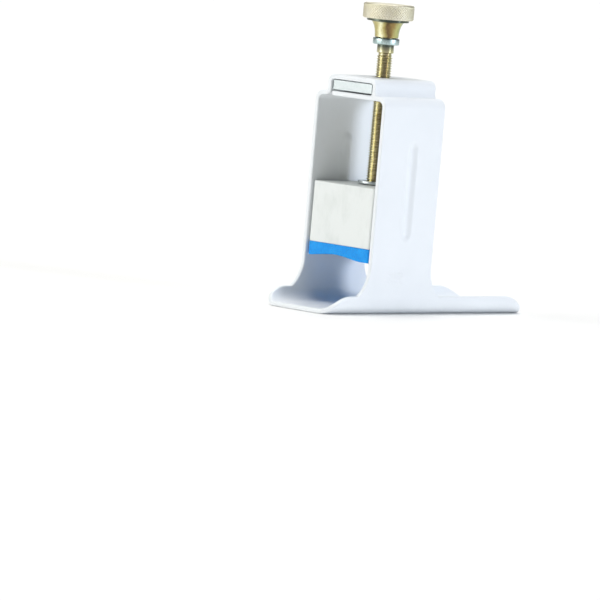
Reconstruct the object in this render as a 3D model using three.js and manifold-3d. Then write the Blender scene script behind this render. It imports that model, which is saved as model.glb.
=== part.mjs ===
// Finger splint: a bent steel loop on a trough, with a screw that presses a padded block on the finger.
// Millimetres, +Z up. The origin is on the trough's flat underside, below the axis of the screw.
// +X runs along the trough to its long end, and -Y is the side whose wall folds over as the tab.
import * as THREE from 'three';
import { mergeVertices } from 'three/addons/utils/BufferGeometryUtils.js';
import Module from 'manifold-3d';

const wasm = await Module();
wasm.setup();

// Sheet steel loop
const sheet = 1.5;
const loopWidth = 30;
const stripDepth = 28;
const shoulderHeight = 67.8;
const wallCornerRadius = 2.4;
const shoulderInset = 4.8;

// Raised channel on top of the loop, and the tab under it
const hatRise = 5.2;
const hatCornerRadius = 2;
const hatFootRadius = 0.6;
const tabEndSlit = 0.5;
const screwHoleRadius = 3.1;

// Trough under the finger
const troughDepth = 5.8;
const troughRadius = 5.3;
const tongueLength = 63.5;
const tongueCornerReach = 13.5;
const heelLength = 31;
const heelCornerReach = 10;
const flareRadius = 11;
const flareHeight = 8.9;

// Ribs pressed into both walls
const ribWidth = 4.6;
const ribLength = 31.4;
const ribDepth = 0.9;
const ribCentreHeight = 38.7;
const ribOffset = 0.8;

// Screw, and the ring and washer on it
const shankRadius = 2.5;
const neckRadius = 2.65;
const neckLength = 2.7;
const neckHeightOverHat = 7.65;
const ringRadius = 4.15;
const ringThickness = 2;
const flareFootRadius = 3.75;
const flareTopRadius = 5.3;
const flareLength = 5.3;
const rimRadius = 6.65;
const rimThickness = 0.35;
const headRadius = 8;
const headThickness = 4.7;
const headChamfer = 0.45;
const washerRadius = 5;
const washerThickness = 0.9;

// Sliding block and its pad
const blockHeight = 19;
const blockUnderside = 20.2;
const blockSetback = 0.5;
const blockSideGap = 0.6;
const blockCornerRadius = 0.8;
const padThickness = 4;
const tipSeatDepth = 6;

// Threaded plate between hat and tab
const plateSetback = 1;
const plateSideGap = 0.7;
const plateUnderGap = 0.5;

// Clearances
const pieceGap = 0.3;
const slideGap = 0.4;

// Smoothness of round shapes
const arcSteps = 7;
const roundSteps = 40;
const ribSteps = 12;

// Heights and half widths that follow from the sizes above
const halfWidth = loopWidth / 2;
const halfDepth = stripDepth / 2;
const hatHalfWidth = halfWidth - shoulderInset;
const hatTop = shoulderHeight + hatRise;
const hatUnderside = hatTop - sheet;
const blockTop = blockUnderside + blockHeight;
const blockHalfWidth = halfWidth - sheet - blockSideGap;
const blockHalfDepth = halfDepth - blockSetback;
const cutMargin = 1;

const paintedSteel = () => new THREE.MeshStandardMaterial({ color: 0xe9eff6, roughness: 0.4, metalness: 0 });
const brightSteel = () => new THREE.MeshStandardMaterial({ color: 0xcdd6d3, roughness: 0.3, metalness: 1 });
const yellowZinc = () => new THREE.MeshStandardMaterial({ color: 0xc9b46c, roughness: 0.32, metalness: 1 });
const palePlastic = () => new THREE.MeshStandardMaterial({ color: 0xe6ece7, roughness: 0.55, metalness: 0 });
const blueFoam = () => new THREE.MeshStandardMaterial({ color: 0x1489e6, roughness: 0.85, metalness: 0 });

// Turns a closed geometry into a solid that can be cut and joined.
function solidOf(geometry) {
  const bare = geometry.clone();
  bare.deleteAttribute('normal');
  bare.deleteAttribute('uv');
  const merged = mergeVertices(bare, 1e-4);
  const corners = [];
  for (let i = 0; i < merged.index.count; i += 3) {
    const a = merged.index.getX(i);
    const b = merged.index.getX(i + 1);
    const c = merged.index.getX(i + 2);
    if (a !== b && b !== c && c !== a) corners.push(a, b, c);
  }
  return new wasm.Manifold(new wasm.Mesh({
    numProp: 3,
    vertProperties: new Float32Array(merged.attributes.position.array),
    triVerts: new Uint32Array(corners),
  }));
}

// Turns a cut solid back into a geometry.
function geometryOf(solid) {
  const mesh = solid.getMesh();
  const geometry = new THREE.BufferGeometry();
  geometry.setAttribute('position', new THREE.BufferAttribute(new Float32Array(mesh.vertProperties), 3));
  geometry.setIndex(new THREE.BufferAttribute(new Uint32Array(mesh.triVerts), 1));
  geometry.computeVertexNormals();
  return geometry;
}

function pieceMesh(name, geometry, material) {
  const mesh = new THREE.Mesh(geometry, material);
  mesh.name = name;
  return mesh;
}

// Extrudes a shape drawn in X and Y from one height to another.
function raised(shape, low, high) {
  const geometry = new THREE.ExtrudeGeometry(shape, {
    depth: high - low, bevelEnabled: false, curveSegments: arcSteps,
  });
  return geometry.translate(0, 0, low);
}

// Extrudes a shape drawn in Y (across) and Z (up) along X.
function runAlongX(shape, from, to) {
  const geometry = raised(shape, from, to);
  return geometry.applyMatrix4(new THREE.Matrix4().makeBasis(
    new THREE.Vector3(0, 1, 0), new THREE.Vector3(0, 0, 1), new THREE.Vector3(1, 0, 0),
  ));
}

// Extrudes a shape drawn in X and Z along Y.
function runAlongY(shape, from, to) {
  const geometry = raised(shape, -to, -from);
  return geometry.rotateX(Math.PI / 2);
}

// Turns a profile of radius and height about the Z axis.
function turned(profile) {
  const points = profile.map(({ radius, height }) => new THREE.Vector2(radius, height));
  return new THREE.LatheGeometry(points, roundSteps).rotateX(Math.PI / 2);
}

// Upright cylinder on the screw's axis, used for holes.
function borer(radius, low, high) {
  const geometry = new THREE.CylinderGeometry(radius, radius, high - low, roundSteps);
  return geometry.rotateX(Math.PI / 2).translate(0, 0, (low + high) / 2);
}

// Outline of the bent sheet seen along X: the loop's outside.
function loopOutside() {
  const side = halfWidth;
  const hat = hatHalfWidth;
  const outline = new THREE.Shape();
  outline.moveTo(-(side - troughRadius), 0);
  outline.lineTo(side - troughRadius, 0);
  outline.absarc(side - troughRadius, troughRadius, troughRadius, -Math.PI / 2, 0, false);
  outline.absarc(side - wallCornerRadius, shoulderHeight - wallCornerRadius, wallCornerRadius, 0, Math.PI / 2, false);
  outline.absarc(hat + hatFootRadius, shoulderHeight + hatFootRadius, hatFootRadius, -Math.PI / 2, -Math.PI, true);
  outline.absarc(hat - hatCornerRadius, hatTop - hatCornerRadius, hatCornerRadius, 0, Math.PI / 2, false);
  outline.absarc(-(hat - hatCornerRadius), hatTop - hatCornerRadius, hatCornerRadius, Math.PI / 2, Math.PI, false);
  outline.lineTo(-hat, shoulderHeight);
  outline.absarc(-(side - wallCornerRadius), shoulderHeight - wallCornerRadius, wallCornerRadius,
    Math.PI / 2, Math.PI, false);
  outline.absarc(-(side - troughRadius), troughRadius, troughRadius, Math.PI, 1.5 * Math.PI, false);
  return outline;
}

// The space inside the loop, with the slit at the tab's end and the tunnel between tab and hat.
function loopInside() {
  const side = halfWidth;
  const hat = hatHalfWidth;
  const tabUnderside = shoulderHeight - sheet;
  const tabEnd = hat - sheet - tabEndSlit;
  const troughInner = troughRadius - sheet;
  const wallInner = wallCornerRadius - sheet;
  const hatInner = hatCornerRadius - sheet;
  const space = new THREE.Path();
  space.moveTo(-(side - troughRadius), sheet);
  space.lineTo(side - troughRadius, sheet);
  space.absarc(side - troughRadius, troughRadius, troughInner, -Math.PI / 2, 0, false);
  space.absarc(side - wallCornerRadius, shoulderHeight - wallCornerRadius, wallInner, 0, Math.PI / 2, false);
  space.absarc(hat + hatFootRadius, shoulderHeight + hatFootRadius, hatFootRadius + sheet,
    -Math.PI / 2, -Math.PI, true);
  space.absarc(hat - hatCornerRadius, hatTop - hatCornerRadius, hatInner, 0, Math.PI / 2, false);
  space.absarc(-(hat - hatCornerRadius), hatTop - hatCornerRadius, hatInner, Math.PI / 2, Math.PI, false);
  space.lineTo(-(hat - sheet), shoulderHeight);
  space.lineTo(tabEnd, shoulderHeight);
  space.lineTo(tabEnd, tabUnderside);
  space.absarc(-(side - wallCornerRadius), shoulderHeight - wallCornerRadius, wallInner,
    Math.PI / 2, Math.PI, false);
  space.absarc(-(side - troughRadius), troughRadius, troughInner, Math.PI, 1.5 * Math.PI, false);
  return space;
}

// Outline seen from the side: the upright strip, which flares into the edges of the long trough.
function sideOutline() {
  const flareTop = troughDepth + flareHeight;
  const lowest = -cutMargin;
  const highest = hatTop + cutMargin;
  const sweep = Math.asin(flareHeight / flareRadius);
  const centre = halfDepth + flareRadius;
  const outline = new THREE.Shape();
  outline.moveTo(-(heelLength + cutMargin), lowest);
  outline.lineTo(tongueLength + cutMargin, lowest);
  outline.lineTo(tongueLength + cutMargin, troughDepth);
  outline.absarc(centre, flareTop, flareRadius, Math.PI + sweep, Math.PI, true);
  outline.lineTo(halfDepth, highest);
  outline.lineTo(-halfDepth, highest);
  outline.absarc(-centre, flareTop, flareRadius, 0, -sweep, true);
  outline.lineTo(-(heelLength + cutMargin), troughDepth);
  return outline;
}

// Distance across the bent sheet's middle, from the trough's centre line to its upper edge.
const troughFlat = halfWidth - troughRadius;
const bendRadius = troughRadius - sheet / 2;
const blankEdge = troughFlat + bendRadius * Math.PI / 2 + troughDepth - troughRadius;

// Place in Y and Z of a point of the bent blank, a given distance inwards of the trough's outer face.
function bentPoint(spread, inwards) {
  const side = Math.sign(spread);
  const past = Math.abs(spread) - troughFlat;
  const turn = past / bendRadius;
  const arm = troughRadius - inwards;
  if (past < 0) return { across: spread, up: inwards };
  if (turn < Math.PI / 2) {
    return { across: side * (troughFlat + arm * Math.sin(turn)), up: troughRadius - arm * Math.cos(turn) };
  }
  return { across: side * (troughFlat + arm), up: troughRadius + past - bendRadius * Math.PI / 2 };
}

// How far one end of the blank reaches at a given distance from the centre line: it has round corners.
function blankReach(endLength, cornerReach, spread) {
  const past = Math.min(Math.max(Math.abs(spread) - (blankEdge - cornerReach), 0), cornerReach);
  return endLength - cornerReach + Math.sqrt(cornerReach ** 2 - past ** 2);
}

// Fat body of the bent blank: the trough's sheet with a margin on both faces, cut square to the sheet.
function blankBody() {
  const spreads = [];
  for (let step = 0; step <= arcSteps * 3; step += 1) {
    const turn = (step / (arcSteps * 3)) * Math.PI / 2;
    spreads.push(blankEdge - tongueCornerReach + tongueCornerReach * Math.sin(turn));
  }
  spreads.push(blankEdge + cutMargin);
  const rows = [...spreads.toReversed().map((spread) => -spread), ...spreads];
  const positions = [];
  for (const spread of rows) {
    const outer = bentPoint(spread, -cutMargin);
    const inner = bentPoint(spread, sheet + cutMargin);
    const heel = -blankReach(heelLength, heelCornerReach, spread);
    const tongue = blankReach(tongueLength, tongueCornerReach, spread);
    positions.push(heel, outer.across, outer.up, tongue, outer.across, outer.up);
    positions.push(tongue, inner.across, inner.up, heel, inner.across, inner.up);
  }
  const corners = [0, 1, 2, 0, 2, 3];
  for (let row = 0; row < rows.length - 1; row += 1) {
    for (let side = 0; side < 4; side += 1) {
      const here = row * 4 + side;
      const beside = row * 4 + ((side + 1) % 4);
      corners.push(here, here + 4, beside + 4, here, beside + 4, beside);
    }
  }
  const last = (rows.length - 1) * 4;
  corners.push(last, last + 2, last + 1, last, last + 3, last + 2);
  const geometry = new THREE.BufferGeometry();
  geometry.setAttribute('position', new THREE.Float32BufferAttribute(positions, 3));
  geometry.setIndex(corners);
  return geometry;
}

// Box round the upright part of the loop and its flares.
function loopBox() {
  const flareWidth = flareRadius - Math.sqrt(flareRadius ** 2 - flareHeight ** 2);
  const halfLength = halfDepth + flareWidth;
  const height = hatTop + 2 * cutMargin;
  const box = new THREE.BoxGeometry(2 * halfLength, loopWidth + 2 * cutMargin, height);
  return box.translate(0, 0, height / 2 - cutMargin);
}

// Long round-ended bead that lies upright on a wall, half of it on each side of the given plane.
function ribBead(across) {
  const radius = ribWidth / 2;
  const bead = new THREE.CapsuleGeometry(radius, ribLength - ribWidth, arcSteps, ribSteps * 2);
  bead.rotateX(Math.PI / 2);
  bead.scale(1, ribDepth / radius, 1);
  return bead.translate(ribOffset, across, ribCentreHeight);
}

function makeFrame() {
  const section = loopOutside();
  section.holes.push(loopInside());
  let frame = solidOf(runAlongX(section, -(heelLength + cutMargin), tongueLength + cutMargin));
  frame = frame.intersect(solidOf(runAlongY(sideOutline(), -(halfWidth + cutMargin), halfWidth + cutMargin)));
  frame = frame.intersect(solidOf(blankBody()).add(solidOf(loopBox())));
  for (const side of [-1, 1]) {
    frame = frame.add(solidOf(ribBead(side * (halfWidth - sheet))));
    frame = frame.subtract(solidOf(ribBead(side * halfWidth)));
  }
  const screwHole = borer(screwHoleRadius, shoulderHeight - sheet - cutMargin, hatTop + cutMargin);
  frame = frame.subtract(solidOf(screwHole));
  return pieceMesh('frame', geometryOf(frame), paintedSteel());
}

// Rectangle with a hole on the screw's axis.
function plateWithHole(halfLength, halfSpan, holeRadius) {
  const outline = new THREE.Shape();
  outline.moveTo(-halfLength, -halfSpan);
  outline.lineTo(halfLength, -halfSpan);
  outline.lineTo(halfLength, halfSpan);
  outline.lineTo(-halfLength, halfSpan);
  outline.holes.push(new THREE.Path().absarc(0, 0, holeRadius, 0, 2 * Math.PI, true));
  return outline;
}

function makeNutPlate() {
  const halfLength = halfDepth - plateSetback;
  const halfSpan = hatHalfWidth - sheet - plateSideGap;
  const outline = plateWithHole(halfLength, halfSpan, shankRadius + pieceGap);
  const geometry = raised(outline, shoulderHeight + plateUnderGap, hatUnderside - pieceGap);
  return pieceMesh('nut_plate', geometry, brightSteel());
}

// Shares of the flare's length and of its spread from foot to top.
const flareRows = [
  { rise: 0, spread: 0 },
  { rise: 0.3, spread: 0.06 },
  { rise: 0.55, spread: 0.2 },
  { rise: 0.75, spread: 0.42 },
  { rise: 0.9, spread: 0.7 },
  { rise: 1, spread: 1 },
];

function makeThumbScrew() {
  const tip = blockTop - tipSeatDepth + pieceGap;
  const neckFoot = hatTop + neckHeightOverHat;
  const flareFoot = neckFoot + neckLength + ringThickness + pieceGap;
  const rimFoot = flareFoot + flareLength;
  const headFoot = rimFoot + rimThickness;
  const headTop = headFoot + headThickness;
  const spread = flareTopRadius - flareFootRadius;
  const profile = [
    { radius: 0, height: tip },
    { radius: shankRadius, height: tip },
    { radius: shankRadius, height: neckFoot },
    { radius: neckRadius, height: neckFoot },
    { radius: neckRadius, height: flareFoot },
    ...flareRows.map((row) => ({
      radius: flareFootRadius + row.spread * spread,
      height: flareFoot + row.rise * flareLength,
    })),
    { radius: rimRadius, height: rimFoot },
    { radius: rimRadius, height: headFoot },
    { radius: headRadius - headChamfer, height: headFoot },
    { radius: headRadius, height: headFoot + headChamfer },
    { radius: headRadius, height: headTop - headChamfer },
    { radius: headRadius - headChamfer, height: headTop },
    { radius: 0, height: headTop },
  ];
  return pieceMesh('thumb_screw', turned(profile), yellowZinc());
}

// Flat ring on the screw's axis, as a profile that closes on itself.
function ringProfile(inner, outer, low, high) {
  return [
    { radius: inner, height: low },
    { radius: outer, height: low },
    { radius: outer, height: high },
    { radius: inner, height: high },
    { radius: inner, height: low },
  ];
}

function makeCollarRing() {
  const low = hatTop + neckHeightOverHat + neckLength;
  const profile = ringProfile(neckRadius + pieceGap, ringRadius, low, low + ringThickness);
  return pieceMesh('collar_ring', turned(profile), brightSteel());
}

function makeFootWasher() {
  const low = blockTop + pieceGap;
  const profile = ringProfile(shankRadius + pieceGap, washerRadius, low, low + washerThickness);
  return pieceMesh('foot_washer', turned(profile), brightSteel());
}

// Plan of the block and its pad: a rectangle with round corners and a channel at each side for the rib.
function blockOutline() {
  const along = blockHalfDepth;
  const across = blockHalfWidth;
  const round = blockCornerRadius;
  const channelHalf = ribWidth / 2 + slideGap;
  const channelStart = ribOffset - channelHalf;
  const channelEnd = ribOffset + channelHalf;
  const channelFloor = halfWidth - sheet - ribDepth - slideGap;
  const outline = new THREE.Shape();
  outline.moveTo(channelStart, -across);
  outline.lineTo(channelStart, -channelFloor);
  outline.lineTo(channelEnd, -channelFloor);
  outline.lineTo(channelEnd, -across);
  outline.absarc(along - round, -across + round, round, -Math.PI / 2, 0, false);
  outline.absarc(along - round, across - round, round, 0, Math.PI / 2, false);
  outline.lineTo(channelEnd, across);
  outline.lineTo(channelEnd, channelFloor);
  outline.lineTo(channelStart, channelFloor);
  outline.lineTo(channelStart, across);
  outline.absarc(-along + round, across - round, round, Math.PI / 2, Math.PI, false);
  outline.absarc(-along + round, -across + round, round, Math.PI, 1.5 * Math.PI, false);
  return outline;
}

function makePressBlock() {
  const body = solidOf(raised(blockOutline(), blockUnderside, blockTop));
  const seat = solidOf(borer(shankRadius + pieceGap, blockTop - tipSeatDepth, blockTop + cutMargin));
  return pieceMesh('press_block', geometryOf(body.subtract(seat)), palePlastic());
}

function makeFoamPad() {
  const top = blockUnderside - pieceGap;
  const geometry = raised(blockOutline(), top - padThickness, top);
  return pieceMesh('foam_pad', geometry, blueFoam());
}

const splint = new THREE.Group();
splint.name = 'finger_splint';

const press = new THREE.Group();
press.add(makePressBlock(), makeFoamPad(), makeFootWasher());

const screw = new THREE.Group();
screw.add(makeThumbScrew(), makeCollarRing());

splint.add(makeFrame(), makeNutPlate(), press, screw);

export default splint;
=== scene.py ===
"""Finger splint: the finished surfaces of a bent steel splint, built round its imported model.

Metres, +Z up, +X along the trough to its long end. The steel loop is one bent sheet, so its outline is
drawn flat, as the blank is cut, and every point is then carried along the bends. Turned pieces are
lathed, and the thread and the knurl follow their rules in Geometry Nodes.
"""

import logging
import math
from collections.abc import Callable, Iterable, Sequence
from dataclasses import dataclass, field
from enum import Enum

import bmesh
import bpy
import numpy as np
from mathutils import Matrix, Vector
from mathutils.geometry import delaunay_2d_cdt

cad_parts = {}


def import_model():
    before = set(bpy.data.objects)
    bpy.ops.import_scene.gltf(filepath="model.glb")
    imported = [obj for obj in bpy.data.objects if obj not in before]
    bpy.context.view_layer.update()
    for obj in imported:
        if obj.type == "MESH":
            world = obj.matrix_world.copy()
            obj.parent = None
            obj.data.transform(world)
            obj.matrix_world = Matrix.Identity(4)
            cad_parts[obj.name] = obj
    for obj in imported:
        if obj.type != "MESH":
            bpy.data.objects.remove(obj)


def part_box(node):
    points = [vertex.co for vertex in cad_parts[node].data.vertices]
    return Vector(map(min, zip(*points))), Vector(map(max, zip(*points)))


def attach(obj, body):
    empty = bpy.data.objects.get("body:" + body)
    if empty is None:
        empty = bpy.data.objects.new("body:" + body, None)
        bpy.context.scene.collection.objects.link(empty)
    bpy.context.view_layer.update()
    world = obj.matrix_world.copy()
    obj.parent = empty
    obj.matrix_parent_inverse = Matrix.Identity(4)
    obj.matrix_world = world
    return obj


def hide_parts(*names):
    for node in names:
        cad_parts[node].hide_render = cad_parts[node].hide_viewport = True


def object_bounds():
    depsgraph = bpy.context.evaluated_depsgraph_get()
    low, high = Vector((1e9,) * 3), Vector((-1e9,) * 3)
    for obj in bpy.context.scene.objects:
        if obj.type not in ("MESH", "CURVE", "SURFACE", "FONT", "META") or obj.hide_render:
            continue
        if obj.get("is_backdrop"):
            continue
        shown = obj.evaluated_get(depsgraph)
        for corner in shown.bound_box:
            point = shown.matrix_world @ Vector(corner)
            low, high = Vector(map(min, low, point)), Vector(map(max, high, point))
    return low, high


LOG = logging.getLogger("finger_splint")

Point = tuple[float, float]
Triple = tuple[float, float, float]
Values = dict[str | int, object]
Place = Callable[[np.ndarray, np.ndarray], np.ndarray]

PER_MM = 1000.0
MERGE = 1e-7
SHARP_ANGLE = math.radians(38)
SLIVER_AREA = 1e-11
QUARTER = math.pi / 2
WHITE: Triple = (1.0, 1.0, 1.0)


class Body(Enum):
    """Moving bodies of the splint, by their names in the frame."""

    LOOP = "loop"
    PRESS = "press"
    SCREW = "screw"


class Slot(Enum):
    """Material slots of the record."""

    COAT = "white_coat"
    BRIGHT = "bright_zinc"
    YELLOW = "yellow_zinc"
    PLASTIC = "pale_plastic"
    FOAM = "blue_foam"


# Node trees


class Wire:
    """Output socket that takes part in expressions, each of which adds the Math nodes it needs."""

    def __init__(self, board: "Board", socket: bpy.types.NodeSocket) -> None:
        """Wraps a socket of one tree."""
        self.board = board
        self.socket = socket

    def math(self, operation: str, *values: "Wire | float", swapped: bool = False) -> "Wire":
        """Adds one Math node.

        Args:
            operation: Name of the operation.
            values: The other operands.
            swapped: True if this wire is the last operand.

        Returns:
            The node's result.
        """
        operands = [*values, self] if swapped else [self, *values]
        return self.board.add("ShaderNodeMath", {"operation": operation}, dict(enumerate(operands)))

    def __add__(self, other: "Wire | float") -> "Wire":
        """Sum."""
        return self.math("ADD", other)

    def __sub__(self, other: "Wire | float") -> "Wire":
        """Difference."""
        return self.math("SUBTRACT", other)

    def __rsub__(self, other: float) -> "Wire":
        """Number minus this wire."""
        return self.math("SUBTRACT", other, swapped=True)

    def __mul__(self, other: "Wire | float") -> "Wire":
        """Product."""
        return self.math("MULTIPLY", other)

    def __truediv__(self, other: "Wire | float") -> "Wire":
        """Quotient."""
        return self.math("DIVIDE", other)

    __radd__ = __add__
    __rmul__ = __mul__


class Board:
    """Node tree of one material or one shape, with the one way of adding nodes to it."""

    def __init__(self, tree: bpy.types.NodeTree) -> None:
        """Starts on an empty tree."""
        self.tree = tree
        tree.nodes.clear()

    def add(
        self,
        kind: str,
        settings: Values | None = None,
        sockets: Values | None = None,
        output: str | int = 0,
    ) -> Wire:
        """Adds a node.

        Args:
            kind: Type of the node.
            settings: Properties, which are set first; "stops" are a colour ramp's places and colours.
            sockets: Value or wire of each input, by its name or number.
            output: Name or number of the output that is returned.

        Returns:
            The chosen output, or the node's first input if it has no output.
        """
        node = self.tree.nodes.new(kind)
        for name, value in (settings or {}).items():
            if name == "stops":
                self._set_stops(node.color_ramp, value)
            else:
                setattr(node, name, value)
        for name, value in (sockets or {}).items():
            self._feed(node.inputs[name], value)
        return Wire(self, node.outputs[output] if node.outputs else node.inputs[0])

    def _feed(self, socket: bpy.types.NodeSocket, value: object) -> None:
        """Links a wire to a socket, or sets the socket's own value.

        Args:
            socket: Input of a node.
            value: Wire, number, colour or vector.
        """
        if isinstance(value, Wire):
            self.tree.links.new(value.socket, socket)
        elif isinstance(value, tuple) and len(value) == 3 and socket.type == "RGBA":
            socket.default_value = (*value, 1.0)
        else:
            socket.default_value = value

    @staticmethod
    def _set_stops(ramp: bpy.types.ColorRamp, stops: Sequence[tuple[float, Triple]]) -> None:
        """Gives a colour ramp its stops.

        Args:
            ramp: The ramp.
            stops: Place and colour of each stop.
        """
        while len(ramp.elements) < len(stops):
            ramp.elements.new(1.0)
        for element, (place, colour) in zip(ramp.elements, stops):
            element.position = place
            element.color = (*colour, 1.0)

    def vector(self, operation: str, values: Sequence[object], output: str = "Vector") -> Wire:
        """Adds one Vector Math node."""
        settings = {"operation": operation}
        return self.add("ShaderNodeVectorMath", settings, dict(enumerate(values)), output)

    def split(self, where: Wire) -> list[Wire]:
        """Splits a vector into its three parts."""
        node = self.add("ShaderNodeSeparateXYZ", {}, {"Vector": where}).socket.node
        return [Wire(self, output) for output in node.outputs]

    def noise(self, where: Wire, per_metre: float, detail: float = 2.0, roughness: float = 0.5) -> Wire:
        """Adds a noise texture of so many features in a metre, from 0 to 1."""
        values = {"Vector": where, "Scale": per_metre, "Detail": detail, "Roughness": roughness}
        return self.add("ShaderNodeTexNoise", {}, values, "Fac")

    def spread(
        self, value: Wire, low: float, high: float, to_low: float = 0.0, to_high: float = 1.0
    ) -> Wire:
        """Maps a range of values to another, without leaving it."""
        values = {"Value": value, "From Min": low, "From Max": high, "To Min": to_low, "To Max": to_high}
        return self.add("ShaderNodeMapRange", {"clamp": True}, values)

    def mixed(self, share: Wire | float, first: object, second: object) -> Wire:
        """Mixes two colours, by the share of the second."""
        settings = {"data_type": "RGBA", "blend_type": "MIX"}
        return self.add("ShaderNodeMix", settings, {0: share, 6: first, 7: second}, 2)

    def relief(self, height: Wire, depth: float, strength: float = 1.0, under: Wire | None = None) -> Wire:
        """Adds a bump.

        Args:
            height: Relief, from 0 to 1.
            depth: Its depth in metres.
            strength: Share of it that shows.
            under: Normal that it is laid on.

        Returns:
            The normal.
        """
        values: Values = {"Height": height, "Distance": depth, "Strength": strength}
        if under is not None:
            values["Normal"] = under
        return self.add("ShaderNodeBump", {}, values)


class Finish:
    """Surface finish: a material whose shader is fed by the class that extends this one."""

    name = "finish"

    def built(self) -> bpy.types.Material:
        """Makes the material.

        Returns:
            A material on Object coordinates.
        """
        material = bpy.data.materials.new(self.name)
        material.use_nodes = True
        board = Board(material.node_tree)
        where = board.add("ShaderNodeTexCoord", output="Object")
        surface = board.add("ShaderNodeBsdfPrincipled", {}, self.sockets(board, where))
        board.add("ShaderNodeOutputMaterial", {}, {"Surface": surface})
        return material

    def sockets(self, board: Board, where: Wire) -> Values:
        """Says what feeds the shader.

        Args:
            board: The material's tree.
            where: Place on the piece.

        Returns:
            Value or wire of each of the shader's sockets.
        """
        raise NotImplementedError


# Finishes


@dataclass(frozen=True)
class PowderCoat(Finish):
    """White powder paint: satin, with a faint orange peel and a few wrinkles low on the near wall."""

    name = "white_powder_coat"
    colour: Triple = (0.81, 0.84, 0.86)
    shade: Triple = (0.785, 0.815, 0.835)
    clouds_per_metre: float = 55.0
    roughness: Point = (0.34, 0.46)
    peel_per_metre: float = 620.0
    peel_depth: float = 0.00004
    grain_per_metre: float = 5200.0
    grain_depth: float = 0.000006
    creases_per_metre: float = 330.0
    crease_turn: Triple = (0.0, 0.5, 0.0)
    crease_squeeze: Triple = (1.0, 1.0, 3.4)
    crease_low: Triple = (-0.0085, -0.0158, 0.0085)
    crease_high: Triple = (0.0035, -0.0135, 0.0150)
    crease_fade: float = 0.3
    crease_depth: float = 0.00013

    def _creases(self, board: Board, where: Wire) -> Wire:
        """Draws the faint wrinkles.

        Args:
            board: The material's tree.
            where: Place on the piece.

        Returns:
            Their height, 0 outside their box.
        """
        values = {"Vector": where, "Rotation": self.crease_turn, "Scale": self.crease_squeeze}
        stretched = board.add("ShaderNodeMapping", {}, values)
        wrinkles = board.spread(board.noise(stretched, self.creases_per_metre), 0.40, 0.60)
        for place, low, high in zip(board.split(where), self.crease_low, self.crease_high):
            fade = (high - low) * self.crease_fade
            rising = board.spread(place, low, low + fade)
            wrinkles = wrinkles * rising * board.spread(place, high - fade, high, 1.0, 0.0)
        return wrinkles

    def sockets(self, board: Board, where: Wire) -> Values:
        """Paint colour that clouds a little, over the creases and two sizes of bump."""
        cloud = board.noise(where, self.clouds_per_metre, 3.0)
        peel = board.noise(where, self.peel_per_metre, 1.0)
        grain = board.noise(where, self.grain_per_metre)
        base = board.relief(self._creases(board, where), self.crease_depth)
        base = board.relief(peel, self.peel_depth, under=base)
        return {
            "Base Color": board.mixed(board.spread(cloud, 0.35, 0.65), self.colour, self.shade),
            "Roughness": board.spread(cloud + 0.3 * peel, 0.35, 0.95, *self.roughness),
            "Specular IOR Level": 0.45,
            "Normal": board.relief(grain, self.grain_depth, under=base),
        }


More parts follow.
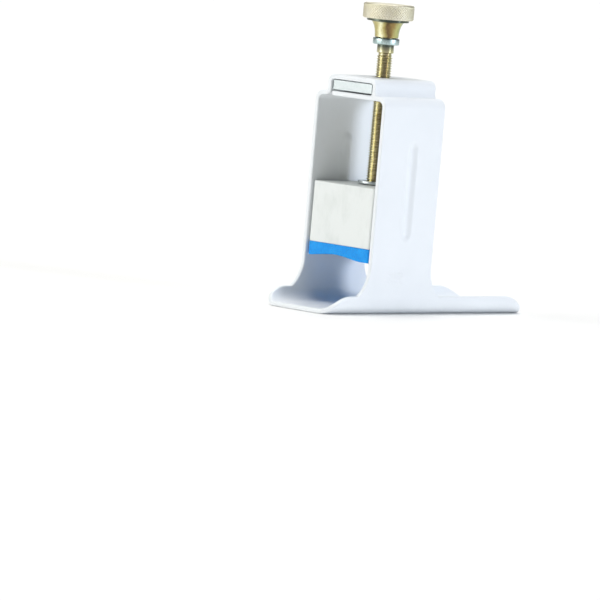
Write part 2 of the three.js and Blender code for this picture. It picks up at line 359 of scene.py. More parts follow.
@dataclass(frozen=True)
class YellowZinc(Finish):
    """Yellow passivated zinc whose film tints change round the part, with a painted highlight and a painted
    dark reflection set into the film's colour by angle round the axis.
    """

    name: str = "yellow_zinc"
    pale: Triple = (0.88, 0.82, 0.56)
    gold: Triple = (0.68, 0.61, 0.35)
    # Dark teal colour of the painted shade under the collar ring and under the head's rim.
    painted_shade: Triple = (0.05, 0.075, 0.072)
    # Film tints round the axis: the pale stop at 0.40 is a painted highlight and the dark brown stop at
    # 0.50 a painted dark reflection; the olive and gold stops are the film's own tints.
    film_and_painted_reflection: tuple[tuple[float, Triple], ...] = (
        (0.00, (0.52, 0.45, 0.20)),
        (0.23, (0.30, 0.28, 0.11)),
        (0.33, (0.50, 0.43, 0.17)),
        (0.40, (0.95, 0.93, 0.62)),
        (0.45, (0.46, 0.39, 0.14)),
        (0.50, (0.115, 0.062, 0.025)),
        (0.55, (0.26, 0.17, 0.055)),
        (0.62, (0.47, 0.47, 0.19)),
        (0.71, (0.24, 0.31, 0.12)),
        (1.00, (0.52, 0.45, 0.20)),
    )
    # Placing, drift, radii and share of the film with its painted highlight and dark reflection.
    film_and_reflection_turn: float = 0.47
    film_and_reflection_drift: float = 0.06
    film_and_reflection_rise: Point = (0.0026, 0.0035)
    film_and_reflection_least: float = 0.45
    film_and_reflection_share: float = 0.95
    # Directions that set on which side of the axis the painted highlight and dark reflection fall.
    front: Triple = (-0.683, -0.73, 0.0)
    across: Triple = (0.73, -0.683, 0.0)
    roughness: float = 0.17
    # Strength and heights of the painted shade bands under the collar ring and under the head's rim.
    painted_shade_share: float = 0.9
    ring_shade_rise: Point = (0.0806, 0.0828)
    ring_shade_fall: Point = (0.0848, 0.0858)
    rim_shade_rise: Point = (0.09025, 0.09055)
    # Radii, share and colour of the painted shade that darkens the thread's roots.
    groove: Point = (0.00212, 0.00248)
    root_shade_share: float = 0.6
    root_shade: Triple = (0.20, 0.165, 0.09)
    turning: float = 0.00042
    turning_depth: float = 0.000004
    tint_per_metre: float = 260.0
    wear_per_metre: float = 900.0
    grain_per_metre: float = 7000.0
    grain_depth: float = 0.000002

    def _film_and_painted_reflection(self, board: Board, where: Wire, drift: Wire) -> Wire:
        """Colours the film by its angle round the axis, painting a highlight and a dark reflection on one
        side.

        Args:
            board: The material's tree.
            where: Place on the piece.
            drift: Noise that moves the colours about.

        Returns:
            The film's colour, with the painted highlight and painted dark reflection.
        """
        ahead = board.vector("DOT_PRODUCT", (where, self.front), "Value")
        aside = board.vector("DOT_PRODUCT", (where, self.across), "Value")
        turn = aside.math("ARCTAN2", ahead) * (1 / math.tau) + self.film_and_reflection_turn + drift * self.film_and_reflection_drift
        return board.add("ShaderNodeValToRGB", {"stops": self.film_and_painted_reflection}, {"Fac": turn}, "Color")

    def sockets(self, board: Board, where: Wire) -> Values:
        """Metal with a tinted film that carries a painted highlight and a painted dark reflection, painted
        shade under the ring, under the head's rim and in the thread's roots, and faint turning marks.
        """
        drift = board.spread(board.noise(where, self.tint_per_metre, 3.0, 0.6), 0.32, 0.68)
        level = board.vector("MULTIPLY", (where, (1.0, 1.0, 0.0)))
        radius = board.vector("LENGTH", (level,), "Value")
        outer = board.spread(radius, *self.film_and_reflection_rise, self.film_and_reflection_least, 1.0)
        # Painted shade: darker where the radius falls below the thread's crest, towards its roots.
        root_shade_mask = board.spread(radius, *self.groove, self.root_shade_share, 0.0)
        plain = board.mixed(root_shade_mask, board.mixed(drift, self.pale, self.gold), self.root_shade)
        # Mixes in the film with its painted highlight and dark reflection, more on the flare than on the
        # rod.
        tint = board.mixed(outer * self.film_and_reflection_share, plain, self._film_and_painted_reflection(board, where, drift))
        height = board.split(where)[2]
        # Painted shade: a dark band on the neck just under the collar ring, and one at the top of the flare
        # just under the head's rim.
        under_ring_shade = board.spread(height, *self.ring_shade_rise, 0.0, self.painted_shade_share)
        rim = board.spread(height, *self.rim_shade_rise, 0.0, self.painted_shade_share)
        painted_shadows = (under_ring_shade * board.spread(height, *self.ring_shade_fall, 1.0, 0.0)).math("MAXIMUM", rim)
        rings = (radius * (math.tau / self.turning)).math("SINE") * 0.5 + 0.5
        grain = board.noise(where, self.grain_per_metre, 3.0)
        wear = board.noise(where, self.wear_per_metre)
        marks = board.relief(rings, self.turning_depth)
        return {
            "Base Color": board.mixed(painted_shadows, tint, self.painted_shade),
            "Metallic": 1.0,
            "Roughness": board.spread(wear, 0.3, 0.7, self.roughness - 0.05, self.roughness + 0.08),
            "Normal": board.relief(grain, self.grain_depth, under=marks),
        }


@dataclass(frozen=True)
class BrightZinc(Finish):
    """Blue-white zinc plating with a faint crystal pattern."""

    name: str = "bright_zinc"
    light: Triple = (0.57, 0.615, 0.62)
    dark: Triple = (0.51, 0.565, 0.57)
    crystals_per_metre: float = 1500.0
    wear_per_metre: float = 700.0
    wear_depth: float = 0.000006

    def sockets(self, board: Board, where: Wire) -> Values:
        """Metal with small crystals of uneven brightness."""
        values = {"Vector": where, "Scale": self.crystals_per_metre}
        crystal = board.add("ShaderNodeTexVoronoi", {}, values, "Color")
        share = board.add("ShaderNodeSeparateColor", {}, {"Color": crystal}, "Red")
        wear = board.noise(where, self.wear_per_metre, 3.0)
        return {
            "Base Color": board.mixed(share * 0.7, self.light, self.dark),
            "Metallic": 1.0,
            "Roughness": board.spread(wear, 0.3, 0.7, 0.30, 0.46),
            "Normal": board.relief(wear, self.wear_depth),
        }


@dataclass(frozen=True)
class PalePlastic(Finish):
    """Off-white block plastic, satin, with faint scuffs."""

    name = "pale_plastic"
    colour: Triple = (0.755, 0.785, 0.768)
    scuffed: Triple = (0.685, 0.72, 0.698)
    streak_turn: Triple = (0.5, 0.3, 0.2)
    streak_squeeze: Triple = (1.0, 1.0, 0.45)
    scuffs_per_metre: float = 210.0
    grain_per_metre: float = 3600.0
    grain_depth: float = 0.000012

    def sockets(self, board: Board, where: Wire) -> Values:
        """Plastic with streaky scuffs and a fine grain."""
        values = {"Vector": where, "Rotation": self.streak_turn, "Scale": self.streak_squeeze}
        scuff = board.noise(board.add("ShaderNodeMapping", {}, values), self.scuffs_per_metre, 5.0, 0.62)
        grain = board.noise(where, self.grain_per_metre)
        return {
            "Base Color": board.mixed(board.spread(scuff, 0.50, 0.72), self.colour, self.scuffed),
            "Roughness": board.spread(scuff, 0.35, 0.7, 0.42, 0.6),
            "Specular IOR Level": 0.4,
            "Normal": board.relief(grain + 2.0 * scuff, self.grain_depth),
        }


@dataclass(frozen=True)
class BlueFoam(Finish):
    """Bright blue closed-cell foam, cut so that its cells stand open."""

    name = "blue_foam"
    colour: Triple = (0.006, 0.29, 0.82)
    # Colour of the painted shade inside the open cells.
    cell_shade: Triple = (0.003, 0.14, 0.50)
    pale: Triple = (0.02, 0.40, 0.92)
    cells_per_metre: float = 2600.0
    large_share: float = 0.4
    clouds_per_metre: float = 260.0
    cell_depth: float = 0.00011

    def sockets(self, board: Board, where: Wire) -> Values:
        """Foam with round open cells, with painted shade inside them."""
        cell, large = (
            board.add("ShaderNodeTexVoronoi", {}, {"Vector": where, "Scale": per_metre}, "Distance")
            for per_metre in (self.cells_per_metre, self.cells_per_metre * self.large_share)
        )
        cloud = board.noise(where, self.clouds_per_metre, 3.0)
        # Painted shade: darker towards the middle of each cell's hollow.
        painted_cell_shade = board.spread(cell, 0.1, 0.45, 1.0, 0.0)
        body = board.mixed(board.spread(cloud, 0.35, 0.65, 0.0, 0.5), self.colour, self.pale)
        height = board.spread(cell, 0.0, 0.5) + 0.6 * board.spread(large, 0.0, 0.4)
        return {
            "Base Color": board.mixed(painted_cell_shade * 0.55, body, self.cell_shade),
            "Roughness": 0.82,
            "Specular IOR Level": 0.3,
            "Sheen Weight": 0.15,
            "Normal": board.relief(height, self.cell_depth, 0.8),
        }


@dataclass(frozen=True)
class Tabletop(Finish):
    """Plain near-white floor."""

    name = "pale_floor"
    colour: Triple = (0.915, 0.912, 0.897)
    shade: Triple = (0.90, 0.897, 0.882)

    def sockets(self, board: Board, where: Wire) -> Values:
        """Matt white that hardly varies."""
        share = board.spread(board.noise(where, 3.0), 0.3, 0.7, 0.0, 0.25)
        colour = board.mixed(share, self.colour, self.shade)
        return {"Base Color": colour, "Roughness": 0.75, "Specular IOR Level": 0.2}


# Shapes in the plane


def arc(centre: Point, radius: float, start: float, end: float, steps: int) -> list[Point]:
    """Draws an arc.

    Args:
        centre: Its centre.
        radius: Its radius.
        start: Angle of its first point, in radians.
        end: Angle of its last point, in radians.
        steps: Pieces that it is cut into.

    Returns:
        Its points, both ends included.
    """
    turns = np.linspace(start, end, steps + 1)
    return [(centre[0] + radius * math.cos(t), centre[1] + radius * math.sin(t)) for t in turns]


def circle(radius: float, steps: int) -> list[Point]:
    """Hole round the origin, drawn clockwise."""
    return arc((0, 0), radius, 0, -math.tau, steps)[:-1]


def grid(across: np.ndarray, up: np.ndarray) -> np.ndarray:
    """Points at every crossing of two sets of lines."""
    return np.stack(np.meshgrid(across, up), -1).reshape(-1, 2)


def rounded(corners: Sequence[Triple], steps: int) -> list[Point]:
    """Rounds the corners of a closed line.

    Args:
        corners: Place of each corner and the radius of its round.
        steps: Pieces in each round.

    Returns:
        The points of the rounded line.
    """
    points: list[Point] = []
    for number, (across, up, radius) in enumerate(corners):
        corner = Vector((across, up))
        back = (Vector(corners[number - 1][:2]) - corner).normalized()
        onward = (Vector(corners[(number + 1) % len(corners)][:2]) - corner).normalized()
        half = back.angle(onward) / 2
        centre = corner + (back + onward).normalized() * (radius / math.sin(half))
        first = corner + back * (radius / math.tan(half)) - centre
        last = corner + onward * (radius / math.tan(half)) - centre
        start = math.atan2(first.y, first.x)
        sweep = (math.atan2(last.y, last.x) - start + math.pi) % math.tau - math.pi
        points += arc((centre.x, centre.y), radius, start, start + sweep, steps)
    return points


def shifted(loop: np.ndarray, distance: float) -> np.ndarray:
    """Moves a closed loop to its left, with mitred corners.

    Args:
        loop: Its points.
        distance: How far it moves.

    Returns:
        The moved points.
    """
    ahead = np.roll(loop, -1, 0) - loop
    ahead /= np.linalg.norm(ahead, axis=1, keepdims=True)
    left = np.stack([-ahead[:, 1], ahead[:, 0]], 1)
    mitre = left + np.roll(left, 1, 0)
    return loop + distance * 2 * mitre / (mitre**2).sum(1, keepdims=True)


def within(points: np.ndarray, loops: Iterable[np.ndarray]) -> np.ndarray:
    """Tests points against loops.

    Args:
        points: The points.
        loops: Outer loop and holes.

    Returns:
        True for each point inside an odd number of loops.
    """
    found = np.zeros(len(points), bool)
    x, y = points[:, :1], points[:, 1:]
    for a in loops:
        b = np.roll(a, -1, 0)
        rise = np.where(a[:, 1] == b[:, 1], 1.0, b[:, 1] - a[:, 1])
        crossing = (a[:, 1] > y) != (b[:, 1] > y)
        left_of = x < (b[:, 0] - a[:, 0]) * (y - a[:, 1]) / rise + a[:, 0]
        found ^= (crossing & left_of).sum(1) % 2 == 1
    return found


def clearance(points: np.ndarray, loops: Iterable[np.ndarray]) -> np.ndarray:
    """Measures points from loops.

    Args:
        points: The points.
        loops: The loops.

    Returns:
        Distance of each point from the nearest loop.
    """
    nearest = np.full(len(points), np.inf)
    for loop in loops:
        for a, b in zip(loop, np.roll(loop, -1, 0)):
            side = b - a
            share = np.clip((points - a) @ side / (side @ side), 0, 1)
            nearest = np.minimum(nearest, np.linalg.norm(points - a - share[:, None] * side, axis=1))
    return nearest


def triangles_of(loops: Sequence[np.ndarray], inner: np.ndarray) -> tuple[np.ndarray, np.ndarray]:
    """Fills loops with triangles, without the slivers along their straight sides.

    Args:
        loops: Outer loop, then holes.
        inner: Points between them.

    Returns:
        All the points, loops first, and the triangles between them.
    """
    points = np.vstack([*loops, inner])
    edges = []
    start = 0
    for loop in loops:
        count = len(loop)
        edges += [(start + i, start + (i + 1) % count) for i in range(count)]
        start += count
    drawn = [Vector(p) for p in points * PER_MM]
    _, _, faces, origin, _, _ = delaunay_2d_cdt(drawn, edges, [], 0, 1e-6)
    triangles = np.array([[origin[corner][0] for corner in face] for face in faces])
    corners = points[triangles]
    first, second = corners[:, 1] - corners[:, 0], corners[:, 2] - corners[:, 0]
    area = np.abs(first[:, 0] * second[:, 1] - first[:, 1] * second[:, 0]) / 2
    return points, triangles[within(corners.mean(1), loops) & (area > SLIVER_AREA)]


# Meshes and objects


def mesh_of(name: str, points: np.ndarray, faces: Iterable[Sequence[int]]) -> bpy.types.Mesh:
    """Makes a mesh whose faces point outwards.

    Args:
        name: Name of the mesh.
        points: Places of its corners, which may repeat.
        faces: Numbers of each face's corners.

    Returns:
        The mesh, with its doubles merged.
    """
    mesh = bpy.data.meshes.new(name)
    mesh.from_pydata([tuple(p) for p in points], [], [tuple(int(i) for i in face) for face in faces])
    work = bmesh.new()
    work.from_mesh(mesh)
    bmesh.ops.remove_doubles(work, verts=work.verts, dist=MERGE)
    bmesh.ops.recalc_face_normals(work, faces=work.faces)
    work.to_mesh(mesh)
    work.free()
    return mesh


def linked(name: str, data: bpy.types.ID) -> bpy.types.Object:
    """Makes an object in the scene, at the origin.

    Args:
        name: Name of the object.
        data: Its mesh, light or camera.

    Returns:
        The object.
    """
    thing = bpy.data.objects.new(name, data)
    bpy.context.scene.collection.objects.link(thing)
    return thing


def plain(host: bpy.types.Object) -> bpy.types.Mesh:
    """Applies an object's modifiers and removes the object.

    Args:
        host: The object.

    Returns:
        The plain mesh that it showed.
    """
    graph = bpy.context.evaluated_depsgraph_get()
    mesh = bpy.data.meshes.new_from_object(host.evaluated_get(graph))
    bpy.data.objects.remove(host)
    return mesh


def finish_piece(
    name: str, mesh: bpy.types.Mesh, material: bpy.types.Material, body: Body, slot: Slot, node: str
) -> bpy.types.Object:
    """Makes a finished piece, smooth between its sharp edges, and puts it on its body.

    Args:
        name: Name of the piece.
        mesh: Closed mesh, in place.
        material: Its material.
        body: Body that it rides on.
        slot: Material slot of the record; not used.
        node: Node of the frame that it stands for.

    Returns:
        The piece, at the origin, with no modifiers.
    """
    work = bmesh.new()
    work.from_mesh(mesh)
    for edge in work.edges:
        edge.smooth = len(edge.link_faces) == 2 and edge.calc_face_angle(0) < SHARP_ANGLE
    for face in work.faces:
        face.smooth = True
        face.material_index = 0
    work.to_mesh(mesh)
    work.free()
    rough = linked(name + "_rough", mesh)
    rough.modifiers.new("weigh", "WEIGHTED_NORMAL").keep_sharp = True
    final = plain(rough)
    final.materials.clear()
    final.materials.append(material)
    final.name = name
    piece = linked(name, final)
    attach(piece, body.value)
    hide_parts(node)
    LOG.info("%s: %d faces, on %s", name, len(final.polygons), body.value)
    return piece


def lathed(name: str, profile: Sequence[Point], segments: int) -> bpy.types.Mesh:
    """Turns a closed profile of radius and height about the Z axis.

    Args:
        name: Name of the mesh.
        profile: Points that start and end on the axis, or close on themselves.
        segments: Facets round the axis.

    Returns:
        The closed mesh.
    """
    around = np.arange(segments)
    turns = around * math.tau / segments
    beside = (around + 1) % segments
    rings = [
        np.stack([radius * np.cos(turns), radius * np.sin(turns), np.full(segments, height)], 1)
        for radius, height in profile
    ]
    faces: list[Sequence[int]] = []
    on_axis = profile[0][0] == 0
    for row in range(len(profile) - on_axis):
        low, high = row * segments, ((row + 1) % len(profile)) * segments
        faces += list(np.stack([low + around, low + beside, high + beside, high + around], 1))
    return mesh_of(name, np.vstack(rings), faces)


def ring_mesh(name: str, box: tuple[Vector, Vector], bore: float, edge: float) -> bpy.types.Mesh:
    """Makes a flat ring with rounded edges, on the screw's axis.

    Args:
        name: Name of the mesh.
        box: Box of the node that it stands for.
        bore: Radius of its hole.
        edge: Radius of its outer edges.

    Returns:
        The closed mesh.
    """
    low, high = box
    rim = high.x
    corners = [(bore, low.z, edge / 3), (rim, low.z, edge), (rim, high.z, edge), (bore, high.z, edge / 3)]
    return lathed(name, rounded(corners, 4), 96)


@dataclass
class Blank:
    """Flat cut shape with rounded edges on both faces, which a place function then bends or lays.

    Its faces lie half a thickness on each side of the middle, and the first face is the one that
    pockets are sunk into.
    """

    outline: list[Point]
    thickness: float
    edge: float
    holes: list[list[Point]] = field(default_factory=list)
    pockets: list[tuple[list[Point], float]] = field(default_factory=list)
    edge_steps: int = 3
    least_gap: float = 0.00025

    def _rim(self, floor: float | None = None) -> list[Point]:
        """Draws the section of an edge, from the first face on.

        Args:
            floor: Offset of a pocket's floor, or None for an edge that goes through.

        Returns:
            Inset and offset of each ring.
        """
        half = self.thickness / 2
        turns = np.linspace(0, QUARTER, self.edge_steps + 1)
        rings = [(self.edge * (1 - math.sin(t)), half - self.edge * (1 - math.cos(t))) for t in turns]
        if floor is not None:
            return [*rings, (0.0, floor)]
        return rings + [(inset, -offset) for inset, offset in reversed(rings)]

    def solid(self, name: str, place: Place, lattice: np.ndarray) -> bpy.types.Mesh:
        """Builds the closed mesh.

        Args:
            name: Name of the mesh.
            place: Carries flat points and their offsets from the middle to their places in space.
            lattice: Points inside the outline that the faces are drawn through.

        Returns:
            The mesh, in place.
        """
        through = [np.array(loop, float) for loop in (self.outline, *self.holes)]
        sunk = [(np.array(loop, float), depth) for loop, depth in self.pockets]
        half = self.thickness / 2
        parts: list[np.ndarray] = []
        faces: list[Sequence[int]] = []

        def keep(points: np.ndarray, offset: float) -> int:
            """Keeps points.

            Args:
                points: Flat points.
                offset: Their offset from the middle.

            Returns:
                Number of the first of them.
            """
            first = sum(len(part) for part in parts)
            parts.append(place(points, np.full(len(points), offset)))
            return first

        def wall(rings: list[int], count: int) -> None:
            """Joins rings of points with faces.

            Args:
                rings: Number of each ring's first point.
                count: Points in a ring.
            """
            here = np.arange(count)
            beside = (here + 1) % count
            for upper, lower in zip(rings, rings[1:]):
                faces.extend(np.stack([lower + here, lower + beside, upper + beside, upper + here], 1))

        starts: list[list[int]] = []
        for offset, loops in ((half, through + [loop for loop, _ in sunk]), (-half, through)):
            edges = [shifted(loop, self.edge) for loop in loops]
            gap = clearance(lattice, edges) > self.least_gap
            points, triangles = triangles_of(edges, lattice[gap & within(lattice, edges)])
            first = keep(points, offset)
            faces += list(triangles + first)
            starts.append(list(first + np.cumsum([0] + [len(edge) for edge in edges[:-1]])))
        for number, loop in enumerate(through):
            rings = [keep(shifted(loop, inset), offset) for inset, offset in self._rim()[1:-1]]
            wall([starts[0][number], *rings, starts[1][number]], len(loop))
        for number, (loop, depth) in enumerate(sunk, len(through)):
            rings = [keep(shifted(loop, inset), offset) for inset, offset in self._rim(half - depth)[1:]]
            wall([starts[0][number], *rings], len(loop))
            faces.append(range(rings[-1], rings[-1] + len(loop)))
        return mesh_of(name, np.vstack(parts), faces)


def laid_flat(height: float) -> Place:
    """Place function of a piece that lies level, its middle at a height."""
    return lambda points, offsets: np.column_stack([points, height + offsets])


class ShapeTree:
    """Geometry Nodes tree with named inputs for its sizes."""

    def __init__(self, name: str, sizes: dict[str, float | int]) -> None:
        """Starts a tree.

        Args:
            name: Name of the tree.
            sizes: Name and value of each input.
        """
        self.tree = bpy.data.node_groups.new(name, "GeometryNodeTree")
        self.board = Board(self.tree)
        self.sizes = sizes
        self.identifiers = {}
        face = self.tree.interface
        for size, value in sizes.items():
            kind = "NodeSocketInt" if isinstance(value, int) else "NodeSocketFloat"
            self.identifiers[size] = face.new_socket(size, in_out="INPUT", socket_type=kind).identifier
        face.new_socket("Geometry", in_out="OUTPUT", socket_type="NodeSocketGeometry")
        self.entry = self.tree.nodes.new("NodeGroupInput")

    def __getitem__(self, name: str) -> Wire:
        """Wire of one named input."""
        return Wire(self.board, self.entry.outputs[name])

    def moved(self, geometry: Wire, axis: str, distance: Wire) -> Wire:
        """Moves a shape along an axis."""
        offset = self.board.add("ShaderNodeCombineXYZ", {}, {axis: distance})
        return self.board.add("GeometryNodeTransform", {}, {"Geometry": geometry, "Translation": offset})

    def built(self, name: str, geometry: Wire, material: bpy.types.Material) -> bpy.types.Mesh:
        """Ends the tree and makes its mesh.

        Args:
            name: Name of the mesh.
            geometry: The finished shape.
            material: Its material.

        Returns:
            A plain mesh.
        """
        board = self.board
        real = board.add("GeometryNodeRealizeInstances", {}, {"Geometry": geometry})
        faced = board.add("GeometryNodeSetMaterial", {}, {"Geometry": real, "Material": material})
        board.add("NodeGroupOutput", {}, {"Geometry": faced})
        host = linked(name + "_host", bpy.data.meshes.new(name + "_host"))
        modifier = host.modifiers.new("shape", "NODES")
        modifier.node_group = self.tree
        for size, value in self.sizes.items():
            modifier[self.identifiers[size]] = value
        return plain(host)


# The bent sheet


@dataclass(frozen=True)
class Stretch:
    """One stretch of the sheet's side view, straight where it doesn't turn; left is positive."""

    length: float
    turn: float = 0.0


class SidePath:
    """Side view of the bent sheet: turns a distance along the sheet into a place across and up."""

    def __init__(self, start: Point, heading: float, stretches: Sequence[Stretch], centre: int) -> None:
        """Lays the stretches end to end.

        Args:
            start: Where the sheet's middle starts, across and up.
            heading: Its first direction.
            stretches: The stretches in order.
            centre: Number of the stretch whose middle is distance 0.
        """
        self.starts = np.concatenate([[0.0], np.cumsum([s.length for s in stretches])])
        self.starts -= self.starts[centre] + stretches[centre].length / 2
        self.turns = np.array([s.turn / s.length for s in stretches])
        rows = []
        across, up = start
        for stretch, turning in zip(stretches, self.turns):
            rows.append((across, up, heading))
            across, up = self._step(across, up, heading, turning, stretch.length)
            heading += stretch.turn
        self.rows = np.array(rows)

    @staticmethod
    def _step(across: object, up: object, heading: object, turning: object, distance: object) -> tuple:
        """Goes along a line or an arc.

        Args:
            across: Where it starts, across.
            up: Where it starts, up.
            heading: Its first direction.
            turning: Its turn in each metre.
            distance: How far it goes.

        Returns:
            Where it ends, across and up.
        """
        bent = np.abs(turning) > 1e-9
        safe = np.where(bent, turning, 1.0)
        ahead = heading + turning * distance
        run = np.where(bent, (np.sin(ahead) - np.sin(heading)) / safe, distance * np.cos(heading))
        rise = np.where(bent, (np.cos(heading) - np.cos(ahead)) / safe, distance * np.sin(heading))
        return across + run, up + rise

    def stretch_at(self, along: np.ndarray | float) -> np.ndarray:
        """Number of the stretch at each distance."""
        return np.clip(np.searchsorted(self.starts, along, "right") - 1, 0, len(self.rows) - 1)

    def at(self, along: np.ndarray) -> tuple[np.ndarray, np.ndarray]:
        """Finds places on the sheet.

        Args:
            along: Distances along the sheet.

        Returns:
            Place across and up of each, and the unit normal that points out of the loop.
        """
        number = self.stretch_at(along)
        across, up, heading = self.rows[number].T
        distance = along - self.starts[number]
        turning = self.turns[number]
        place = np.stack(self._step(across, up, heading, turning, distance), 1)
        ahead = heading + turning * distance
        return place, np.stack([np.sin(ahead), -np.cos(ahead)], 1)

    def stations(self, flat_step: float, bend_step: float) -> np.ndarray:
        """Divides the sheet.

        Args:
            flat_step: Longest step on a flat.
            bend_step: Longest step in a bend.

        Returns:
            Distances that the bends and the flats are drawn at.
        """
        found = []
        for start, end, turning in zip(self.starts, self.starts[1:], self.turns):
            count = max(1, math.ceil((end - start) / (bend_step if turning else flat_step)))
            found.append(np.linspace(start, end, count + 1)[:-1])
        return np.concatenate([*found, self.starts[-1:]])


@dataclass
class SheetLoop:
    """The white steel loop and its trough: one sheet, cut, bent and closed by a weld under the hat."""

    coat: bpy.types.Material
    sheet: float = 0.0015
    strip_depth: float = 0.028
    shoulder_height: float = 0.0678
    wall_corner: float = 0.0032
    shoulder_inset: float = 0.0048
    hat_corner: float = 0.0023
    hat_foot: float = 0.0006
    tab_slit: float = 0.0005
    hole_radius: float = 0.0031
    trough_radius: float = 0.0053
    trough_depth: float = 0.0058
    tongue_corner: float = 0.0135
    heel_corner: float = 0.010
    flare_radius: float = 0.011
    flare_height: float = 0.0089
    end_corner: float = 0.0006
    edge: float = 0.00045
    rib_width: float = 0.0050
    rib_length: float = 0.0316
    rib_depth: float = 0.0011
    rib_centre: float = 0.0387
    rib_offset: float = 0.0008
    rib_shoulder: float = 1.7
    rib_margin: float = 0.0006
    weld_radius: float = 0.0007
    flat_step: float = 0.002
    bend_step: float = 0.00028

    def __post_init__(self) -> None:
        """Takes the overall sizes from the frame and lays out the side view."""
        low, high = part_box("frame")
        self.heel, self.tongue = low.x, high.x
        self.half_width, self.hat_top = high.y, high.z
        self.tab_end = self.half_width - self.shoulder_inset - self.sheet - self.tab_slit
        self.path = self._side_path()
        self.stations = self.path.stations(self.flat_step, self.bend_step)

    def _side_path(self) -> SidePath:
        """Lays out the sheet's middle.

        Returns:
            The path from the tab's free end round to the foot of the hat's near leg.
        """
        half = self.sheet / 2
        hat = self.half_width - self.shoulder_inset
        corner_start = self.half_width - self.wall_corner
        wall = Stretch(self.shoulder_height - self.wall_corner - self.trough_radius)
        round_wall, round_trough, round_hat = (
            Stretch((radius - half) * QUARTER, QUARTER)
            for radius in (self.wall_corner, self.trough_radius, self.hat_corner)
        )
        hat_bend = self.hat_top - self.hat_corner
        stretches = [
            Stretch(self.tab_end + corner_start),
            round_wall,
            wall,
            round_trough,
            Stretch(2 * (self.half_width - self.trough_radius)),
            round_trough,
            wall,
            round_wall,
            Stretch(corner_start - hat - self.hat_foot),
            Stretch((self.hat_foot + half) * QUARTER, -QUARTER),
            Stretch(hat_bend - self.shoulder_height - self.hat_foot),
            round_hat,
            Stretch(2 * (hat - self.hat_corner)),
            round_hat,
            Stretch(hat_bend - self.shoulder_height + self.edge),
        ]
        return SidePath((self.tab_end, self.shoulder_height - half), math.pi, stretches, centre=4)

    def _flat_distance(self, height: float | np.ndarray) -> float | np.ndarray:
        """Distance along the sheet of a height on the far wall."""
        return self.path.starts[6] + height - self.trough_radius

    def _outline(self) -> list[Point]:
        """Draws the flat blank.

        Returns:
            Its outline, counterclockwise in X and distance along the sheet.
        """
        half = self.strip_depth / 2
        sweep = math.asin(self.flare_height / self.flare_radius)
        flare_x, flare = half + self.flare_radius, self.flare_radius
        edge = self._flat_distance(self.trough_depth)
        top = self._flat_distance(self.trough_depth + self.flare_height)
        tip, heel, corner = self.tongue_corner, self.heel_corner, self.end_corner
        tongue_x, heel_x, corner_x = self.tongue - tip, self.heel + heel, half - corner
        last, first = self.path.starts[-1] - corner, self.path.starts[0] + corner
        arcs = (
            (tongue_x, edge - tip, tip, 0, QUARTER, 42),
            (flare_x, top, flare, math.pi + sweep, math.pi, 24),
            (corner_x, last, corner, 0, QUARTER, 4),
            (-corner_x, last, corner, QUARTER, math.pi, 4),
            (-flare_x, top, flare, 0, -sweep, 24),
            (heel_x, edge - heel, heel, QUARTER, math.pi, 34),
            (heel_x, heel - edge, heel, math.pi, 3 * QUARTER, 34),
            (-flare_x, -top, flare, sweep, 0, 24),
            (-corner_x, first, corner, math.pi, 3 * QUARTER, 4),
            (corner_x, first, corner, -QUARTER, 0, 4),
            (flare_x, -top, flare, math.pi, math.pi - sweep, 24),
            (tongue_x, tip - edge, tip, -QUARTER, 0, 42),
        )
        return [point for x, y, *turned in arcs for point in arc((x, y), *turned)]

    def _drawn(self, outline: Sequence[Point]) -> list[Point]:
        """Cuts the outline's long sides at the stations, so that it follows every bend.

        Args:
            outline: The outline's corners and arcs.

        Returns:
            The outline with the points between.
        """
        drawn: list[Point] = []
        for here, onward in zip(outline, [*outline[1:], outline[0]]):
            drawn.append(here)
            run, rise = onward[0] - here[0], onward[1] - here[1]
            low, high = sorted((here[1], onward[1]))
            if abs(rise) > self.bend_step:
                between = self.stations[(self.stations > low + 1e-5) & (self.stations < high - 1e-5)]
                between = between if rise > 0 else between[::-1]
                drawn += [(here[0] + run * (s - here[1]) / rise, float(s)) for s in between]
            elif abs(run) > self.flat_step:
                count = math.ceil(abs(run) / self.flat_step)
                drawn += [(here[0] + run * i / count, here[1] + rise * i / count) for i in range(1, count)]
        return drawn

    def _placed(self, points: np.ndarray, offsets: np.ndarray) -> np.ndarray:
        """Carries flat points along the bends, pressed in at the ribs and filleted at the weld.

        Args:
            points: Flat points.
            offsets: Their offsets from the sheet's middle.

        Returns:
            Their places in space.
        """
        place, normal = self.path.at(points[:, 1])
        reach = (self.rib_length - self.rib_width) / 2
        beyond = np.maximum(np.abs(place[:, 1] - self.rib_centre) - reach, 0)
        share = np.hypot(points[:, 0] - self.rib_offset, beyond) / (self.rib_width / 2)
        rib = self.rib_depth * np.clip(1 - share**2, 0, None) ** self.rib_shoulder
        press = np.where(np.abs(place[:, 0]) > self.half_width - self.sheet, rib, 0)
        left = self.path.starts[-1] - self.edge - points[:, 1]
        near = np.clip((self.weld_radius - left) / self.weld_radius, 0, 1)
        fillet = np.where(left > -1e-6, self.weld_radius * (1 - np.sqrt(1 - near**2)), self.weld_radius)
        widened = offsets * (1 + fillet / (self.sheet / 2))
        return np.column_stack([points[:, 0], place + normal * (widened - press)[:, None]])

